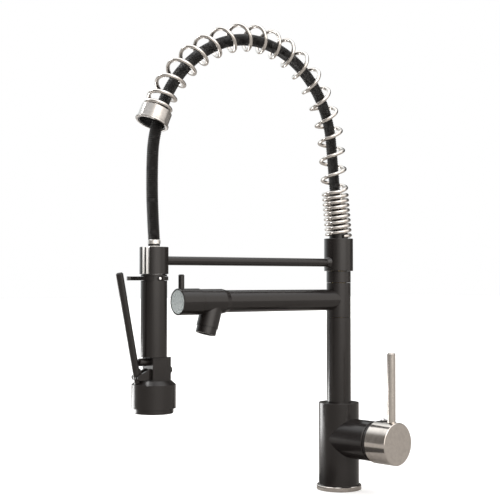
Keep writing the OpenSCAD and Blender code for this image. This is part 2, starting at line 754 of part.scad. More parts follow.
module dock_collar() color(matt) difference() {
    turned(collar_d, 0, collar_z + run_gap, collar_top, 0.4, 0.4);
    hole(swivel_bore, collar_z - 1, collar_top - collar_floor);
    hole(crimp_d + 2 * fit, collar_z, collar_top + 1);
    hole(seat_d + 2 * fit, collar_top - 4.6, collar_top + 1);
    at_rod() translate([0, 0, collar_d / 2 - 3]) cylinder(d = rod_d + 2 * fit, h = 20);
}

module at_rod() {
    translate([0, 0, rod_z]) rotate([90, 0, 0]) children();
}

module collar_bush() color(white)
    ring(swivel_bore - 2 * fit, spindle_d + 2 * fit, collar_z + run_gap, collar_z + run_gap + bush_h);

module dock_rod() color(matt) difference() {
    at_rod() union() {
        hole(rod_d, collar_d / 2 - 2.9, arm_reach - clip_d / 2 + 1);
        difference() {
            translate([0, 0, collar_d / 2 - 1]) cylinder(d1 = rod_d + 5, d2 = rod_d, h = 4);
            translate([0, -rod_z, 0]) rotate([-90, 0, 0]) hole(collar_d + 2 * fit, 0, 2 * rod_z);
        }
    }
    at_spray() hole(clip_d + 2 * fit, clip_z - 20, clip_top + 20);
}

module slit(w, from) {
    rotate([0, 0, slit_az - 90]) translate([from, -w / 2, clip_z - 1]) cube([20, w, clip_h + 2]);
}

module dock_clip() color(matt) at_spray() difference() {
    turned(clip_d, liner_d, clip_z, clip_top, 0.4, 0.4);
    slit(slit_w, 5);
    for (s = [-1, 1]) rotate([0, 0, slit_az - 90]) translate([clip_d / 2, s * slit_w / 2, clip_z + clip_h / 2])
        rotate([0, 0, 45]) cube([slit_edge, slit_edge, clip_h + 2], center = true);
}

module clip_liner() color("#26282a") at_spray() difference() {
    ring(liner_d - 2 * fit, liner_bore, clip_z + 0.6, clip_top - 0.6);
    slit(slit_w + 0.6, 5);
}

// ---- spring and hose ----

module spring_seat() color(matt)
    turned(seat_d, seat_bore, collar_top - 4.5, collar_top + seat_rise, 0.2, edge);

module arm_spring() color(nickel)
    sweep([for (i = [0 : coil_count]) coil_ring(i / coil_steps)], coil_sides);

module hose_crimp() color("#9a9a98") difference() {
    hole(crimp_d, hose_start[1] - 1.5, collar_top + 2);
    hole(hose_d + 2 * fit, hose_start[1], collar_top + 3);
    hole(6, hose_start[1] - 3, hose_start[1] + 1);
}

module hose_arch() color("#2f2e30") sweep([for (i = [0 : hose_rings])
    route_ring(along(hose_start, hose_route, hose_len * i / hose_rings), hose_d, hose_sides)],
    hose_sides);

module at_collar() {
    translate([0, -spring_end[0], spring_end[1]]) rotate([spring_end[2], 0, 0]) children();
}

module end_collar() color(nickel) at_collar() difference() {
    union() {
        turned(end_collar_d, 0, 0, end_collar_len, edge, edge);
        turned(end_lip_d, 0, end_collar_len - end_lip_h, end_collar_len, edge, edge);
    }
    hole(rim_bore, -1, end_collar_len + 1);
    hole(guide_d, guide_z, end_collar_len + 1);
}

module guide_bush() color("#2a2827") at_collar()
    ring(guide_d - 2 * fit, guide_bore, guide_z, end_collar_len - guide_in);

// ---- hose end that slides down with the head ----

module hose_ferrule() color("#c9cbcc") at_spray() difference() {
    union() {
        turned(ferrule_d, 0, ferrule_z, ferrule_top, 0.3, 0.3);
        hole(swivel_d, ferrule_z - swivel_len, ferrule_z + 1);
        hole(flange_d, ferrule_z - swivel_len - flange_t, ferrule_z - swivel_len);
    }
    hole(5, ferrule_z - swivel_len - flange_t - 1, ferrule_top - 1);
}

module hose_drop() color("#2f2e30") at_spray() hole(hose_d, ferrule_top, hose_end[1] - fit);

// ---- spray head ----

module swivel_nut() color(matt) at_spray() difference() {
    union() {
        turned(nut_d, 0, nut_z + washer_t, nut_z + nut_h, 0.1, 0.3);
        hole(flange_d, ferrule_z - swivel_len + clear, nut_z + washer_t + 1);
    }
    hole(swivel_d + 2 * fit, ferrule_z - swivel_len - 1, ferrule_z + 1);
}

module grip_tube() color(matt) at_spray() difference() {
    union() {
        turned(grip_d, 0, block_top, grip_top, 0.4, 0.5);
        hole(neck_fit_d - 2 * sleeve_t, grip_top - 1, nut_z);
    }
    hole(grip_bore, block_top - 1, grip_top - 6 - catch_t - catch_drop);
    hole(water_d, block_top, nut_z);
    hole(swivel_bore_d, ferrule_z - swivel_len - flange_t - clear, nut_z + 1);
    ring(grip_d + 2, groove_d, catch_z - run_gap, catch_top + run_gap);
    at_stud() hole(stud_d + 2 * fit, groove_d / 2 - 2.5, grip_d);
}

module neck_sleeve() color(silver) at_spray()
    turned(neck_fit_d, neck_fit_d - 2 * sleeve_t + 2 * fit, grip_top, nut_z, 0.2, 0.3);

module neck_washer() color(white) at_spray()
    ring(nut_d - 0.4, flange_d + 2 * fit, nut_z, nut_z + washer_t);

module at_stud() {
    translate([0, 0, (catch_z + catch_top) / 2]) rotate([0, 90, stud_az]) children();
}

module catch_stud() color(silver) at_spray() at_stud()
    turned(stud_d, 0, groove_d / 2 - 2.4, grip_d / 2 + 1, 0.1, 0.4);

module check_valve() color("#cfcdc6") at_spray() difference() {
    hole(grip_bore - 4 * fit, grip_top - 26 - catch_t - catch_drop, grip_top - 6 - catch_t - catch_drop);
    hole(7, block_top, grip_top);
}

module valve_block() color(matt) at_spray(block_z) difference() {
    union() {
        linear_extrude(block_h) polygon([
            [-block_w / 2, -block_front + edge], [-block_w / 2 + edge, -block_front],
            [block_w / 2 - edge, -block_front], [block_w / 2, -block_front + edge],
            [block_w / 2, block_back - edge], [block_w / 2 - edge, block_back],
            [-block_w / 2 + edge, block_back], [-block_w / 2, block_back - edge]]);
        for (s = [-1, 1]) translate([s * (cheek_x + cheek_t / 2), 0, lever_pin_z])
            rotate([90, 0, 90]) linear_extrude(cheek_t, center = true) {
                polygon([[-block_front + 1, -cheek_r], [-lever_pin_y, -cheek_r],
                    [-lever_pin_y, cheek_r], [-block_front, cheek_rise], [-block_front + 1, cheek_rise]]);
                translate([-lever_pin_y, 0]) circle(r = cheek_r);
            }
    }
    translate([0, 0, -1]) cylinder(d = water_d, h = block_h + 2);
    translate([0, -block_front - 1, plunger_z]) rotate([-90, 0, 0])
        cylinder(d = plunger_d + 2 * fit, h = block_front + block_back - 2);
    translate([0, block_back - 8, screw_z]) rotate([-90, 0, 0])
        cylinder(d = screw_d - 2 + 2 * fit, h = 9);
    translate([0, -lever_pin_y, lever_pin_z]) rotate([0, 90, 0])
        cylinder(d = lever_pin_d + 2 * fit, h = 40, center = true);
}

module flow_screw() color(matt) at_spray(screw_h) translate([0, block_back, 0]) rotate([-90, 0, 0])
    union() {
        turned(screw_d, 0, 0, screw_head, 0.1, 0.7);
        hole(screw_d - 2, -7.5, 1);
    }

module plunger_spring() color("#a9aaa9") at_spray(plunger_h) {
    turns = 5;
    y0 = plunger_in + lever_d / 2;
    y1 = block_back - 3.6;
    r = plunger_d / 2 - 0.7;
    sweep([for (i = [0 : turns * 12]) let (a = 30 * i, y = y0 + (y1 - y0) * i / turns / 12)
        [for (k = [0 : 4]) let (b = -72 * k) [(r + 0.4 * cos(b)) * cos(a), y + 0.4 * sin(b),
            (r + 0.4 * cos(b)) * sin(a)]]], 5);
}

module bell() color(matt) at_spray() rotate_extrude() polygon([
    [water_d / 2, block_z], [shoulder_d / 2, block_z], [bell_d / 2, bell_top],
    [bell_d / 2, bumper_top], [bumper_d / 2 - 1.6, bumper_top], [bumper_d / 2 - 1.6, bell_top - 2],
    [shoulder_d / 2 - 3, block_z - 3], [water_d / 2, block_z - 3]]);

module bumper_ring() color("#343130") at_spray() rotate_extrude() polygon([
    [bumper_d / 2 - 3.5, face_z], [bumper_d / 2 - 0.8, face_z], [bumper_d / 2, face_z + 0.8],
    [bumper_d / 2, bumper_top], [bumper_d / 2 - 1.6 - fit, bumper_top],
    [bumper_d / 2 - 1.6 - fit, bumper_top + 5], [bumper_d / 2 - 5.5, bumper_top + 5],
    [bumper_d / 2 - 5.5, bumper_top - 2], [bumper_d / 2 - 3.5, bumper_top - 2]]);

jets = [for (n = [[1, 0], [6, 5], [12, 10]], i = [0 : n[0] - 1])
    [n[1] * cos(360 * i / n[0]), n[1] * sin(360 * i / n[0])]];

module nozzle_plate() color("#4a4745") at_spray() difference() {
    hole(bumper_d - 7 - 2 * fit, face_z + 1, bumper_top - 2);
    for (p = jets) translate([p[0], p[1], 0]) hole(jet_d + 4 * fit, face_z, bumper_top);
}

module spray_jets() color("#1f1e1e") at_spray() union() {
    hole(bumper_d - 11 - 4 * fit, bumper_top - 2, bumper_top - 0.8);
    for (p = jets) translate([p[0], p[1], 0]) hole(jet_d, face_z + 0.2, bumper_top - 1.5);
}

// ---- lever ----

module lever_pin() color("#8d8b87") at_spray(pin_h) translate([0, -lever_pin_y, 0])
    rotate([0, 90, 0]) cylinder(d = lever_pin_d, h = 2 * (cheek_x + cheek_t), center = true);

module lever() color(matt) at_spray(pin_h) translate([0, -lever_pin_y, 0]) difference() {
    union() {
        rotate([lever_tilt, 0, 0]) turned(lever_d, 0, 0, lever_rise / cos(lever_tilt), 0.1, 1.2);
        rotate([0, 90, 0]) cylinder(r = eye_r, h = lever_d - 1, center = true);
        rotate([90, 0, 90]) linear_extrude(lever_d - 1, center = true) polygon([[-web_y / 2, 0], [web_y, 0],
            [web_y, web_low], [web_y - (web_high - web_low) * tan(lever_tilt) - 0.6, web_high],
            [-web_high * tan(lever_tilt), web_high]]);
        intersection() {
            rotate([lever_tilt, 0, 0]) hole(lever_d, -2 * lever_d, 1);
            translate([-lever_d, -3 * lever_d, -2 * lever_d]) cube([2 * lever_d, 3 * lever_d + 0.5, 2 * lever_d]);
            rotate([shoulder_lean, 0, 0]) translate([-lever_d, -3 * lever_d, -foot_low])
                cube([2 * lever_d, 6 * lever_d, 3 * lever_d]);
        }
    }
    rotate([0, 90, 0]) cylinder(d = lever_pin_d + 2 * fit, h = 20, center = true);
}

module plunger() color("#8d8b87") at_spray(plunger_h) intersection() {
    translate([0, -plunger_tip, 0]) rotate([-90, 0, 0])
        cylinder(d = plunger_d, h = plunger_tip + plunger_in);
    union() {
        translate([0, -plunger_tip + plunger_r, 0]) sphere(r = plunger_r);
        translate([0, -plunger_tip + plunger_r, 0]) rotate([-90, 0, 0])
            cylinder(d = 3 * plunger_d, h = 40);
    }
}

module lever_catch() color(matt) at_spray(catch_z) union() {
    difference() {
        cylinder(d = grip_d + 2.4, h = catch_t);
        translate([0, 0, -1]) cylinder(d = groove_d + 2 * clear, h = catch_t + 2);
        rotate([0, 0, stud_az - catch_swing - 10]) rotate_extrude(angle = catch_swing + 20)
            translate([groove_d / 2 - 1, -1]) square([grip_d / 2, catch_t + 2]);
    }
    rotate([0, 0, catch_az]) rotate_extrude(angle = 38) translate([catch_reach - finger_t, 0])
        square([finger_t, catch_t]);
    rotate([0, 0, catch_az]) rotate_extrude(angle = 8) translate([grip_d / 2 - 0.5, 0])
        square([catch_reach - grip_d / 2 - 0.5, catch_t]);
}

base_gasket();
base_ring();
valve_body();
cartridge_body();
cartridge_nut();
dome_trim();
riser_tube();
spindle();
spindle_seals();
neck_nut();
collar_circlip();
cartridge_cam();
cartridge_stem();
handle_cap();
handle_pin();
index_ring();
index_disc();
set_screw();
spout_arm();
spout_bush_low();
spout_bush_high();
spout_end();
aerator_housing();
aerator_grid();
diverter_stem();
diverter_seal();
diverter_knob();
knob_disc();
knob_pin();
dock_collar();
collar_bush();
dock_rod();
dock_clip();
clip_liner();
spring_seat();
arm_spring();
hose_crimp();
hose_arch();
end_collar();
guide_bush();
hose_ferrule();
hose_drop();
swivel_nut();
grip_tube();
neck_sleeve();
neck_washer();
catch_stud();
check_valve();
valve_block();
flow_screw();
plunger_spring();
bell();
bumper_ring();
nozzle_plate();
spray_jets();
lever_pin();
lever();
plunger();
lever_catch();
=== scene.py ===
# %% [markdown]
# # A pre-rinse kitchen faucet, dressed
# The faucet is already built as solids: a mixer body, a riser, a swivelling spout and a spring
# arm with a lever spray head. This lesson gives each solid its finish and makes the pieces that
# a solid modeller leaves plain: the wound spring, the braided hose, two white strips of painted
# highlight along the clip's slit and a domed plug. All lengths are in metres.

# %% Load the solids
import json
import math
import bmesh
import bpy
from mathutils import Matrix, Vector


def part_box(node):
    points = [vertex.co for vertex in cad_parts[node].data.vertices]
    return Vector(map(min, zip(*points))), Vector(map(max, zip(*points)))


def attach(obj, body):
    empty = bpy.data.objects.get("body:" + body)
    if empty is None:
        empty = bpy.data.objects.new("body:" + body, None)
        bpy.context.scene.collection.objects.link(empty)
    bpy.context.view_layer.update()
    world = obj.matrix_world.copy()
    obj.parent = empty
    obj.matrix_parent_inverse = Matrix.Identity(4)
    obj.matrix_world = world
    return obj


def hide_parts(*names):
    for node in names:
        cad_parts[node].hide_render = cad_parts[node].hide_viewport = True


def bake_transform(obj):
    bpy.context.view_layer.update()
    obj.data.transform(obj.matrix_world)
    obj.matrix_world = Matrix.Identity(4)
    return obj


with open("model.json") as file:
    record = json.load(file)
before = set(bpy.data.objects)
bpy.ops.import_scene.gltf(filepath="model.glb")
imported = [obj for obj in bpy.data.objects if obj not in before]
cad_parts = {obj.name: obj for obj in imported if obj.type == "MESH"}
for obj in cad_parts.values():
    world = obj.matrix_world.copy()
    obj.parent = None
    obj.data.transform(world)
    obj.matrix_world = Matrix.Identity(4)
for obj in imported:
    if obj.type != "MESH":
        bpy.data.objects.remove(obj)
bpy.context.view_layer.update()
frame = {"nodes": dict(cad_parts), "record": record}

nodes = frame["nodes"]
slot_of = {s["node"]: s["material_slot"] for s in frame["record"]["subparts"]}

# %% [markdown]
# ## Camera
# A tall tap is best shown from far away with a long lens, so that the riser stays straight and
# the base and the crown of the arch are seen almost level. The camera therefore stands well
# back, level with the upper part of the riser, and its long lens fills the square frame with
# the whole tap.

# %% Camera
MM = 0.001
CAMERA_AT = Vector((1023.2, -903.4, 247.5)) * MM
LOOK_LEVEL = Vector((-0.7986, 0.6018, 0.0)).normalized()
LOOK_UP = math.radians(1.507)
LENS_MM, SENSOR_MM = 82.08, 36.0
NEAREST, FARTHEST = 0.05, 40.0


def put_in_scene(name, data):
    made = bpy.data.objects.new(name, data)
    bpy.context.scene.collection.objects.link(made)
    return made


camera_data = bpy.data.cameras.new("camera")
camera_data.lens = LENS_MM
camera_data.sensor_width = SENSOR_MM
camera_data.clip_start = NEAREST
camera_data.clip_end = FARTHEST
camera = put_in_scene("camera", camera_data)
look = LOOK_LEVEL * math.cos(LOOK_UP) + Vector((0, 0, math.sin(LOOK_UP)))
camera.location = CAMERA_AT
camera.rotation_euler = look.to_track_quat("-Z", "Y").to_euler()
bpy.context.scene.camera = camera
print("camera to riser:", round(Vector((CAMERA_AT.x, CAMERA_AT.y)).length, 3), "m")

# %% [markdown]
# ## Node helpers
# Every finish below is a small tree of shader nodes, which could also be drawn by hand in the
# shader editor. Four helpers keep the trees readable: one adds a node, one does a sum, one
# stretches a range of values and one mixes two colours. Two more open a node group with named
# sockets and place it. An effect that several finishes share is built once as a group, and each
# finish then places it with its own values.

# %% Single nodes
def add(tree, kind, **settings):
    made = tree.nodes.new(kind)
    for key, value in settings.items():
        if key in made.inputs:
            made.inputs[key].default_value = value
        else:
            setattr(made, key, value)
    return made


def math_node(tree, operation, a, b=None, clamp=False):
    made = tree.nodes.new("ShaderNodeMath")
    made.operation = operation
    made.use_clamp = clamp
    for index, value in enumerate((a, b)):
        if value is None:
            continue
        if isinstance(value, (int, float)):
            made.inputs[index].default_value = value
        else:
            tree.links.new(value, made.inputs[index])
    return made.outputs[0]


def stretch(tree, value, low, high, to_low=0.0, to_high=1.0):
    made = tree.nodes.new("ShaderNodeMapRange")
    made.inputs["From Min"].default_value = low
    made.inputs["From Max"].default_value = high
    made.inputs["To Min"].default_value = to_low
    made.inputs["To Max"].default_value = to_high
    tree.links.new(value, made.inputs["Value"])
    return made.outputs["Result"]


def color_mix(tree, factor, low, high):
    blend = tree.nodes.new("ShaderNodeMix")
    blend.data_type = "RGBA"
    tree.links.new(factor, blend.inputs["Factor"])
    for label, color in (("A", low), ("B", high)):
        if isinstance(color, tuple):
            blend.inputs[label].default_value = (*color, 1.0)
        else:
            tree.links.new(color, blend.inputs[label])
    return blend.outputs["Result"]


print("node helpers: add, math_node, stretch, color_mix")

# %% Node groups
FLOAT, VECTOR = "NodeSocketFloat", "NodeSocketVector"


def open_group(name, inputs, outputs):
    tree = bpy.data.node_groups.new(name, "ShaderNodeTree")
    for label, kind, value in inputs:
        socket = tree.interface.new_socket(label, in_out="INPUT", socket_type=kind)
        if value is not None:
            socket.default_value = value
    for label, kind in outputs:
        tree.interface.new_socket(label, in_out="OUTPUT", socket_type=kind)
    return tree, tree.nodes.new("NodeGroupInput"), tree.nodes.new("NodeGroupOutput")


def place_group(tree, group, **values):
    made = tree.nodes.new("ShaderNodeGroup")
    made.node_tree = group
    for key, value in values.items():
        made.inputs[key.replace("_", " ")].default_value = value
    return made


print("group helpers: open_group, place_group")

# %% [markdown]
# ## Coating grain
# The black parts carry a baked matt coating. Under a lamp it shows a very fine pebble, like the
# skin of an orange but a hundred times smaller, and a slow unevenness where the spray was
# thicker. Two noises of different scale give both: the fine one is used as height, and the
# slow one shifts the roughness and the tone a little.

# %% Coating grain group
PEBBLES, DRIFTS = 2200.0, 35.0
DRIFT_SPAN = (0.3, 0.7)
coat_grain, gin, gout = open_group(
    "coat_grain",
    [("Position", VECTOR, None), ("Pebbles per metre", FLOAT, PEBBLES),
     ("Drift per metre", FLOAT, DRIFTS)],
    [("Height", FLOAT), ("Drift", FLOAT)])
fine = add(coat_grain, "ShaderNodeTexNoise", Detail=3.0, Roughness=0.55)
slow = add(coat_grain, "ShaderNodeTexNoise", Detail=4.0, Roughness=0.6)
for noise, label in ((fine, "Pebbles per metre"), (slow, "Drift per metre")):
    coat_grain.links.new(gin.outputs["Position"], noise.inputs["Vector"])
    coat_grain.links.new(gin.outputs[label], noise.inputs["Scale"])
coat_grain.links.new(fine.outputs["Fac"], gout.inputs["Height"])
coat_grain.links.new(stretch(coat_grain, slow.outputs["Fac"], *DRIFT_SPAN), gout.inputs["Drift"])
print("group:", coat_grain.name)

# %% [markdown]
# ## Brush lines of turned metal
# The nickel parts are turned on a lathe and then brushed while they spin. The lines therefore
# run round the axis: rings on a cylinder and circles on a flat face. In coordinates where the
# axis is Z, both are lines of equal radius and height, so one noise that changes quickly with
# radius and height and slowly round the axis draws them all. The same noise, stretched wider,
# gives broad bands for the tone.

# %% Turned brush group
LINES, ROUND = 3500.0, 3.0
BAND_SCALE = 0.06
MARK_SPAN = (0.25, 0.75)
turned_brush, gin, gout = open_group(
    "turned_brush",
    [("Axis position", VECTOR, None), ("Lines per metre", FLOAT, LINES), ("Round", FLOAT, ROUND)],
    [("Lines", FLOAT), ("Bands", FLOAT)])
split = add(turned_brush, "ShaderNodeSeparateXYZ")
turned_brush.links.new(gin.outputs["Axis position"], split.inputs[0])
flat = add(turned_brush, "ShaderNodeCombineXYZ")
turned_brush.links.new(split.outputs["X"], flat.inputs["X"])
turned_brush.links.new(split.outputs["Y"], flat.inputs["Y"])
radius = add(turned_brush, "ShaderNodeVectorMath", operation="LENGTH")
turned_brush.links.new(flat.outputs[0], radius.inputs[0])
heading = add(turned_brush, "ShaderNodeVectorMath", operation="NORMALIZE")
turned_brush.links.new(flat.outputs[0], heading.inputs[0])
across = math_node(turned_brush, "ADD", split.outputs["Z"], radius.outputs["Value"])
lines = math_node(turned_brush, "MULTIPLY", across, gin.outputs["Lines per metre"])
turn = add(turned_brush, "ShaderNodeVectorMath", operation="SCALE")
turned_brush.links.new(heading.outputs[0], turn.inputs[0])
turned_brush.links.new(gin.outputs["Round"], turn.inputs["Scale"])
turn_xy = add(turned_brush, "ShaderNodeSeparateXYZ")
turned_brush.links.new(turn.outputs[0], turn_xy.inputs[0])
for factor, label, detail in ((1.0, "Lines", 2.0), (BAND_SCALE, "Bands", 1.0)):
    where = add(turned_brush, "ShaderNodeCombineXYZ")
    turned_brush.links.new(turn_xy.outputs["X"], where.inputs["X"])
    turned_brush.links.new(turn_xy.outputs["Y"], where.inputs["Y"])
    turned_brush.links.new(math_node(turned_brush, "MULTIPLY", lines, factor), where.inputs["Z"])
    noise = add(turned_brush, "ShaderNodeTexNoise", Scale=1.0, Detail=detail, Roughness=0.6)
    turned_brush.links.new(where.outputs[0], noise.inputs["Vector"])
    marks = stretch(turned_brush, noise.outputs["Fac"], *MARK_SPAN)
    turned_brush.links.new(marks, gout.inputs[label])
print("group:", turned_brush.name)

# %% [markdown]
# ## Worn and handled edges
# A coating is thinnest on an edge, so an edge looks a shade lighter and a little smoother than
# the face beside it. Comparing the true normal with one rounded over half a millimetre finds
# the edges of any piece, whatever its mesh. A noise breaks the line up, because wear is never
# even.

# %% Edge wear group
EDGE_WIDTH, BREAKS = 0.0006, 260.0
FLAT_LIKENESS, EDGE_LIKENESS = 0.995, 0.86
BREAK_SPAN = (0.35, 0.6)
edge_wear, gin, gout = open_group(
    "edge_wear",
    [("Position", VECTOR, None), ("Width", FLOAT, EDGE_WIDTH),
     ("Breaks per metre", FLOAT, BREAKS)],
    [("Edge", FLOAT)])
rounded = add(edge_wear, "ShaderNodeBevel", samples=4)
edge_wear.links.new(gin.outputs["Width"], rounded.inputs["Radius"])
true_face = add(edge_wear, "ShaderNodeNewGeometry")
likeness = add(edge_wear, "ShaderNodeVectorMath", operation="DOT_PRODUCT")
edge_wear.links.new(rounded.outputs[0], likeness.inputs[0])
edge_wear.links.new(true_face.outputs["Normal"], likeness.inputs[1])
edge = stretch(edge_wear, likeness.outputs["Value"], FLAT_LIKENESS, EDGE_LIKENESS)
breaks = add(edge_wear, "ShaderNodeTexNoise", Detail=3.0)
edge_wear.links.new(gin.outputs["Position"], breaks.inputs["Vector"])
edge_wear.links.new(gin.outputs["Breaks per metre"], breaks.inputs["Scale"])
broken = stretch(edge_wear, breaks.outputs["Fac"], *BREAK_SPAN)
edge_wear.links.new(math_node(edge_wear, "MULTIPLY", edge, broken, clamp=True), gout.inputs["Edge"])
print("group:", edge_wear.name)

# %% [markdown]
# ## Braid
# The hose is sleeved with two families of fine nylon yarn that run round it in opposite screws
# and pass over and under each other. On the hose's own map, U runs round and V along, so each
# family is a set of slanted stripes. A checker made from the stripe numbers says which family
# lies on top, and the rounded profile of the top yarn is the height.

# %% Braid group
YARNS, CROSSINGS = 18.0, 250.0
braid, gin, gout = open_group(
    "braid",
    [("Round and along", VECTOR, None), ("Yarns", FLOAT, YARNS), ("Crossings", FLOAT, CROSSINGS)],
    [("Height", FLOAT)])
split = add(braid, "ShaderNodeSeparateXYZ")
braid.links.new(gin.outputs["Round and along"], split.inputs[0])
around = math_node(braid, "MULTIPLY", split.outputs["X"], gin.outputs["Yarns"])
along_hose = math_node(braid, "MULTIPLY", split.outputs["Y"], gin.outputs["Crossings"])
screws = [math_node(braid, sign, around, along_hose) for sign in ("ADD", "SUBTRACT")]
profiles = [math_node(braid, "ABSOLUTE", math_node(braid, "SINE",
            math_node(braid, "MULTIPLY", screw, math.pi))) for screw in screws]
count = math_node(braid, "ADD", *[math_node(braid, "FLOOR", screw) for screw in screws])
over = math_node(braid, "PINGPONG", count, 1.0)
under = math_node(braid, "SUBTRACT", 1.0, over)
first = math_node(braid, "MULTIPLY", profiles[0], over)
second = math_node(braid, "MULTIPLY", profiles[1], under)
braid.links.new(math_node(braid, "ADD", first, second), gout.inputs["Height"])
print("group:", braid.name)

# %% [markdown]
# ## Finish helpers
# Each finish is one Principled shader. What is even over the whole surface, such as the metal
# or the coat, is set on the shader itself, and only what varies comes through the nodes. Three
# helpers let a value between 0 and 1 drive the colour, the roughness or the height.

# %% Finish helpers
def start_finish(name, color, roughness, metallic=0.0, **settings):
    made = bpy.data.materials.new(name)
    made.use_nodes = True
    tree = made.node_tree
    shader = tree.nodes["Principled BSDF"]
    shader.inputs["Base Color"].default_value = (*color, 1.0)
    shader.inputs["Roughness"].default_value = roughness
    shader.inputs["Metallic"].default_value = metallic
    for key, value in settings.items():
        shader.inputs[key.replace("_", " ")].default_value = value
    return made, tree, shader


def position(tree):
    return tree.nodes.new("ShaderNodeTexCoord").outputs["Object"]


def vary_color(tree, shader, factor, low, high):
    tree.links.new(color_mix(tree, factor, low, high), shader.inputs["Base Color"])


def vary_roughness(tree, shader, factor, low, high):
    tree.links.new(stretch(tree, factor, 0.0, 1.0, low, high), shader.inputs["Roughness"])


def bump(tree, shader, height, strength, distance):
    made = add(tree, "ShaderNodeBump", Strength=strength, Distance=distance)
    tree.links.new(height, made.inputs["Height"])
    tree.links.new(made.outputs["Normal"], shader.inputs["Normal"])


print("finish helpers: start_finish, position, vary_color, vary_roughness, bump")

# %% [markdown]
# ## Matt black coating
# The body, the riser, the spout, the arm and the spray head are powder coated in a warm black.
# One dark colour would leave them flat, so the tone and the roughness drift slowly, the fine
# pebble breaks up the highlights, and the worn edges come out a shade lighter. The coat is
# half way between matt and gloss: the light lines along the tubes are soft but narrow.

# %% Matt black coating
BLACK_LOW, BLACK_HIGH = (0.0100, 0.0082, 0.0077), (0.0122, 0.0101, 0.0095)
BLACK_EDGE, EDGE_SHARE = (0.050, 0.044, 0.041), 0.45
BLACK_ROUGH, BLACK_SPECULAR = (0.20, 0.26), 0.46
COAT_RELIEF, COAT_DEPTH = 0.10, 0.0001

matt_black, tree, shader = start_finish(
    "matt_black", BLACK_HIGH, BLACK_ROUGH[1], Specular_IOR_Level=BLACK_SPECULAR)
where = position(tree)
grain = place_group(tree, coat_grain)
worn = place_group(tree, edge_wear)
for group in (grain, worn):
    tree.links.new(where, group.inputs["Position"])
tone = color_mix(tree, grain.outputs["Drift"], BLACK_LOW, BLACK_HIGH)
wear = math_node(tree, "MULTIPLY", worn.outputs["Edge"], EDGE_SHARE)
vary_color(tree, shader, wear, tone, BLACK_EDGE)
vary_roughness(tree, shader, grain.outputs["Drift"], *BLACK_ROUGH)
bump(tree, shader, grain.outputs["Height"], COAT_RELIEF, COAT_DEPTH)
print("finish:", matt_black.name)

# %% [markdown]
# ## Brushed and polished metals
# The base ring, the handle's cap and pin and the spring's end collar are brushed nickel, the
# wire is drawn and smoother, and the discs, the ferrule and the inner parts are other metals
# with the same kind of marks. One function makes them all. A mapping node in texture mode moves
# and turns the coordinates into the part's own axis, so that the rings run round that part.

# %% Brushed metal
NICKEL_LOW, NICKEL_HIGH = (0.54, 0.505, 0.47), (0.63, 0.59, 0.55)
LINE_DEPTH = 0.00008


def brushed(name, low, high, rough, origin=(0, 0, 0), turned=(0, 0, 0), lines=LINES, relief=0.05):
    made, tree, shader = start_finish(name, high, rough[1], metallic=1.0)
    axis = tree.nodes.new("ShaderNodeMapping")
    axis.vector_type = "TEXTURE"
    axis.inputs["Location"].default_value = origin
    axis.inputs["Rotation"].default_value = turned
    tree.links.new(position(tree), axis.inputs["Vector"])
    marks = place_group(tree, turned_brush, Lines_per_metre=lines)
    tree.links.new(axis.outputs[0], marks.inputs["Axis position"])
    vary_color(tree, shader, marks.outputs["Bands"], low, high)
    vary_roughness(tree, shader, marks.outputs["Lines"], *rough)
    bump(tree, shader, marks.outputs["Lines"], relief, LINE_DEPTH)
    return made


print("nickel tone:", NICKEL_LOW, "to", NICKEL_HIGH)

# %% Nickel of the base, the handle and the collar
HANDLE_AT = (0, 0, 0.0613)
HANDLE_AXIS = (0.0, math.pi / 2, math.radians(6.4))
COLLAR_AXIS = (math.radians(156.8), 0, 0)
nickel_base = brushed("brushed_nickel_base", NICKEL_LOW, NICKEL_HIGH, (0.14, 0.22))
nickel_cap = brushed("brushed_nickel_cap", NICKEL_LOW, NICKEL_HIGH, (0.12, 0.20),
                     HANDLE_AT, HANDLE_AXIS)
pin_low, pin_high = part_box("handle_pin")
nickel_pin = brushed("brushed_nickel_pin", NICKEL_LOW, NICKEL_HIGH, (0.14, 0.22),
                     tuple((pin_low + pin_high) / 2))
collar_low, collar_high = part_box("end_collar")
nickel_collar = brushed("brushed_nickel_collar", (0.40, 0.385, 0.37), (0.54, 0.52, 0.50),
                        (0.16, 0.25), tuple((collar_low + collar_high) / 2), COLLAR_AXIS)
print("collar middle:", [round(v, 4) for v in (collar_low + collar_high) / 2])

# %% Other metals
REACH = 0.2594
SPOUT_AT, SPOUT_AXIS = (0, 0, 0.224), (math.pi / 2, 0, 0)
silver_disc = brushed("disc_silver", (0.42, 0.455, 0.455), (0.52, 0.555, 0.555), (0.22, 0.32),
                      SPOUT_AT, SPOUT_AXIS, 2600.0)
spring_nickel = brushed("spring_nickel", (0.58, 0.55, 0.52), (0.70, 0.67, 0.64), (0.13, 0.20),
                        lines=900.0)
brass = brushed("brass_core", (0.60, 0.44, 0.20), (0.75, 0.58, 0.30), (0.25, 0.4))
zinc = brushed("zinc_steel", (0.42, 0.42, 0.43), (0.55, 0.55, 0.56), (0.25, 0.4))
ferrule_silver = brushed("ferrule_silver", (0.74, 0.73, 0.71), (0.84, 0.83, 0.81), (0.30, 0.42),
                         (0, -REACH, 0))
chrome = brushed("polished_chrome", (0.80, 0.80, 0.81), (0.84, 0.84, 0.85), (0.05, 0.09),
                 relief=0.02)
print("black and metal finishes:", len(bpy.data.materials))

# %% [markdown]
# ## Plastics and rubber
# Bushes, liners and the plug are moulded, and the gasket, the seals and the bumper are rubber.
# A moulded surface copies the fine spark grain of its steel mould, so the coating's grain group
# serves here too, with larger pebbles, more relief and a rougher face.

# %% Plastics and rubber
MOULD_DEPTH = 0.0001


